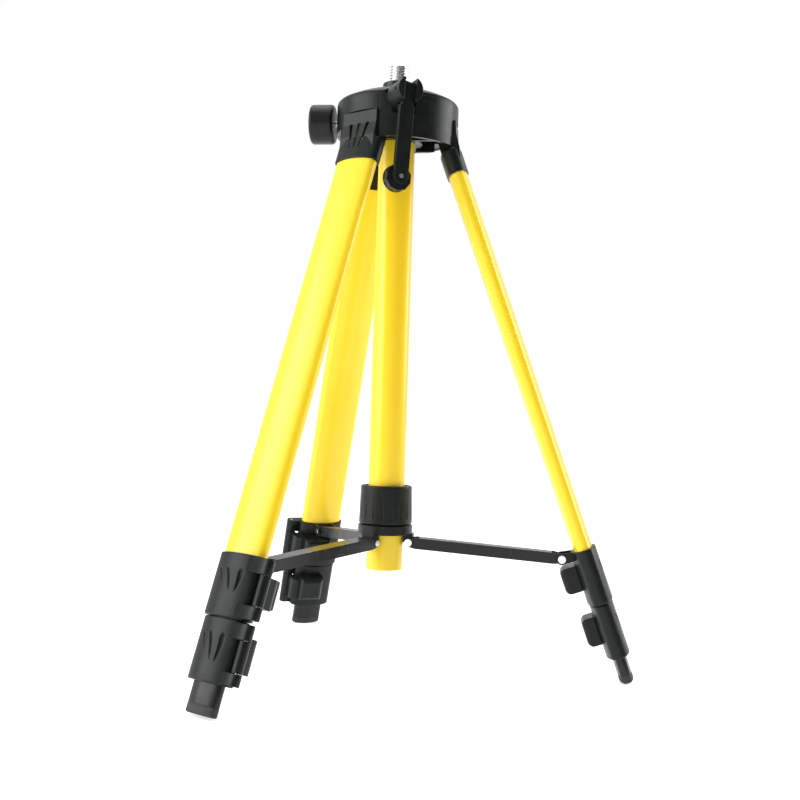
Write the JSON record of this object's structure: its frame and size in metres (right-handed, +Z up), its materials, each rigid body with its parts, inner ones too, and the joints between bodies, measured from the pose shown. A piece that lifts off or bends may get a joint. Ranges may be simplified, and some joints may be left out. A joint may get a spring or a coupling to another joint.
{
  "type": "laser level tripod",
  "caption": "Elevating tripod with a geared column, a threaded stud for a laser level, oval telescopic legs with flip locks and a sliding spreader.",
  "frame": {"origin": "on the column axis at floor level, midway between the three feet", "axes": "+Z up along the column; the back leg points to +Y, the crank to -Y"},
  "size_m": [0.3666, 0.3279, 0.4998],
  "materials": {
    "black_plastic": "fine satin moulded ABS",
    "yellow_enamel": "gloss yellow powder coat on aluminium tube",
    "satin_aluminium": "satin anodised",
    "black_metal": "semi-gloss black enamel",
    "chrome": "bright plated",
    "steel": "zinc plated",
    "bright_rivet": "bright pressed rivet",
    "black_rubber": "matt moulded rubber"
  },
  "bodies": {
    "head": {"head_housing": "black_plastic", "head_cap": "black_plastic", "underside_covers": "black_plastic", "cover_screws": "steel", "leg_pivot_pins": "steel", "centre_tube": "yellow_enamel", "guide_bush": "black_plastic", "brake_shoe": "black_plastic"},
    "column": {"lift_column": "satin_aluminium", "rack": "steel", "platform": "black_metal", "stud": "chrome"},
    "crank_shaft": {"pinion_shaft": "steel", "crank_hub": "black_plastic", "crank_pin": "chrome"},
    "crank_arm": {"crank_arm": "black_plastic", "knob_pin": "steel"},
    "crank_knob": {"crank_knob": "black_plastic"},
    "lock_knob": {"lock_knob": "black_plastic", "lock_screw": "chrome"},
    "spreader_hub": {"spreader_hub": "black_plastic", "collet": "black_plastic", "hub_rivets": "bright_rivet"},
    "twist_collar": {"twist_collar": "black_plastic"},
    "leg_right": {"leg_fitting_right": "black_plastic", "upper_tube_right": "yellow_enamel", "upper_lock_right": "black_plastic", "upper_pins_right": "bright_rivet"},
    "upper_lever_right": {"upper_lever_right": "black_plastic"},
    "middle_right": {"middle_tube_right": "black_metal", "lower_lock_right": "black_plastic", "lower_pin_right": "bright_rivet"},
    "lower_lever_right": {"lower_lever_right": "black_plastic"},
    "lower_right": {"lower_tube_right": "black_metal", "foot_right": "black_rubber"},
    "arm_right": {"spreader_arm_right": "black_metal"},
    "leg_left": {"leg_fitting_left": "black_plastic", "upper_tube_left": "yellow_enamel", "upper_lock_left": "black_plastic", "upper_pins_left": "bright_rivet"},
    "upper_lever_left": {"upper_lever_left": "black_plastic"},
    "middle_left": {"middle_tube_left": "black_metal", "lower_lock_left": "black_plastic", "lower_pin_left": "bright_rivet"},
    "lower_lever_left": {"lower_lever_left": "black_plastic"},
    "lower_left": {"lower_tube_left": "black_metal", "foot_left": "black_rubber"},
    "arm_left": {"spreader_arm_left": "black_metal"},
    "leg_back": {"leg_fitting_back": "black_plastic", "upper_tube_back": "yellow_enamel", "upper_lock_back": "black_plastic", "upper_pins_back": "bright_rivet"},
    "upper_lever_back": {"upper_lever_back": "black_plastic"},
    "middle_back": {"middle_tube_back": "black_metal", "lower_lock_back": "black_plastic", "lower_pin_back": "bright_rivet"},
    "lower_lever_back": {"lower_lever_back": "black_plastic"},
    "lower_back": {"lower_tube_back": "black_metal", "foot_back": "black_rubber"},
    "arm_back": {"spreader_arm_back": "black_metal"}
  },
  "joints": [
    {"name": "column_lift", "type": "slide", "parent": "head", "child": "column", "axis": [0, 0, 1], "range_m": [0, 0.2]},
    {"name": "crank_turn", "type": "hinge", "parent": "head", "child": "crank_shaft", "pos_m": [-0.0186, -0.05, 0.46], "axis": [0, -1, 0], "range_deg": [0, 1433]},
    {"name": "crank_fold", "type": "hinge", "parent": "crank_shaft", "child": "crank_arm", "pos_m": [-0.0186, -0.0624, 0.46], "axis": [-0.9981, 0, 0.061], "range_deg": [0, 180]},
    {"name": "crank_knob_spin", "type": "hinge", "parent": "crank_arm", "child": "crank_knob", "pos_m": [-0.02269, -0.056, 0.39313], "axis": [0, 1, 0], "continuous": true},
    {"name": "lock_knob_turn", "type": "hinge", "parent": "head", "child": "lock_knob", "pos_m": [-0.05196, 0.03, 0.4516], "axis": [-0.866, 0.5, 0], "range_deg": [0, 270]},
    {"name": "hub_slide", "type": "slide", "parent": "head", "child": "spreader_hub", "axis": [0, 0, 1], "range_m": [0, 0.067]},
    {"name": "twist_lock", "type": "hinge", "parent": "spreader_hub", "child": "twist_collar", "pos_m": [0, 0, 0.135], "axis": [0, 0, 1], "range_deg": [0, 90]},
    {"name": "leg_fold_right", "type": "hinge", "parent": "head", "child": "leg_right", "pos_m": [0.03308, -0.0191, 0.4458], "axis": [0.5, 0.866, 0], "range_deg": [0, 5]},
    {"name": "upper_lever_right_flip", "type": "hinge", "parent": "leg_right", "child": "upper_lever_right", "pos_m": [0.16488, -0.06263, 0.08556], "axis": [0.2962, -0.171, -0.9397], "range_deg": [0, 105]},
    {"name": "middle_right_slide", "type": "slide", "parent": "leg_right", "child": "middle_right", "axis": [0.2962, -0.171, -0.9397], "range_m": [0, 0.28]},
    {"name": "lower_lever_right_flip", "type": "hinge", "parent": "middle_right", "child": "lower_lever_right", "pos_m": [0.17555, -0.07249, 0.04283], "axis": [0.2962, -0.171, -0.9397], "range_deg": [0, 105]},
    {"name": "lower_right_slide", "type": "slide", "parent": "middle_right", "child": "lower_right", "axis": [0.2962, -0.171, -0.9397], "range_m": [0, 0.27]},
    {"name": "arm_right_hinge", "type": "hinge", "parent": "spreader_hub", "child": "arm_right", "pos_m": [0.01732, -0.01, 0.1048], "axis": [0.5, 0.866, 0], "range_deg": [0, 37.66]},
    {"name": "leg_fold_left", "type": "hinge", "parent": "head", "child": "leg_left", "pos_m": [-0.03308, -0.0191, 0.4458], "axis": [0.5, -0.866, 0], "range_deg": [0, 5]},
    {"name": "upper_lever_left_flip", "type": "hinge", "parent": "leg_left", "child": "upper_lever_left", "pos_m": [-0.13668, -0.11148, 0.08556], "axis": [-0.2962, -0.171, -0.9397], "range_deg": [0, 105]},
    {"name": "middle_left_slide", "type": "slide", "parent": "leg_left", "child": "middle_left", "axis": [-0.2962, -0.171, -0.9397], "range_m": [0, 0.28]},
    {"name": "lower_lever_left_flip", "type": "hinge", "parent": "middle_left", "child": "lower_lever_left", "pos_m": [-0.15055, -0.11579, 0.04283], "axis": [-0.2962, -0.171, -0.9397], "range_deg": [0, 105]},
    {"name": "lower_left_slide", "type": "slide", "parent": "middle_left", "child": "lower_left", "axis": [-0.2962, -0.171, -0.9397], "range_m": [0, 0.27]},
    {"name": "arm_left_hinge", "type": "hinge", "parent": "spreader_hub", "child": "arm_left", "pos_m": [-0.01732, -0.01, 0.1048], "axis": [0.5, -0.866, 0], "range_deg": [0, 37.66]},
    {"name": "leg_fold_back", "type": "hinge", "parent": "head", "child": "leg_back", "pos_m": [0, 0.0382, 0.4458], "axis": [-1, 0, 0], "range_deg": [0, 5]},
    {"name": "upper_lever_back_flip", "type": "hinge", "parent": "leg_back", "child": "upper_lever_back", "pos_m": [-0.0282, 0.17411, 0.08556], "axis": [0, 0.342, -0.9397], "range_deg": [0, 105]},
    {"name": "middle_back_slide", "type": "slide", "parent": "leg_back", "child": "middle_back", "axis": [0, 0.342, -0.9397], "range_m": [0, 0.28]},
    {"name": "lower_lever_back_flip", "type": "hinge", "parent": "middle_back", "child": "lower_lever_back", "pos_m": [-0.025, 0.18828, 0.04283], "axis": [0, 0.342, -0.9397], "range_deg": [0, 105]},
    {"name": "lower_back_slide", "type": "slide", "parent": "middle_back", "child": "lower_back", "axis": [0, 0.342, -0.9397], "range_m": [0, 0.27]},
    {"name": "arm_back_hinge", "type": "hinge", "parent": "spreader_hub", "child": "arm_back", "pos_m": [0, 0.02, 0.1048], "axis": [-1, 0, 0], "range_deg": [0, 37.66]}
  ],
  "couplings": [
    {"joint": "crank_turn", "follows": "column_lift", "rad_per_m": 125},
    {"joint": "hub_slide", "follows": "leg_fold_right", "m_per_rad": 0.7651},
    {"joint": "arm_right_hinge", "follows": "leg_fold_right", "ratio": 7.523},
    {"joint": "leg_fold_left", "follows": "leg_fold_right", "ratio": 1},
    {"joint": "arm_left_hinge", "follows": "leg_fold_right", "ratio": 7.523},
    {"joint": "leg_fold_back", "follows": "leg_fold_right", "ratio": 1},
    {"joint": "arm_back_hinge", "follows": "leg_fold_right", "ratio": 7.523}
  ]
}
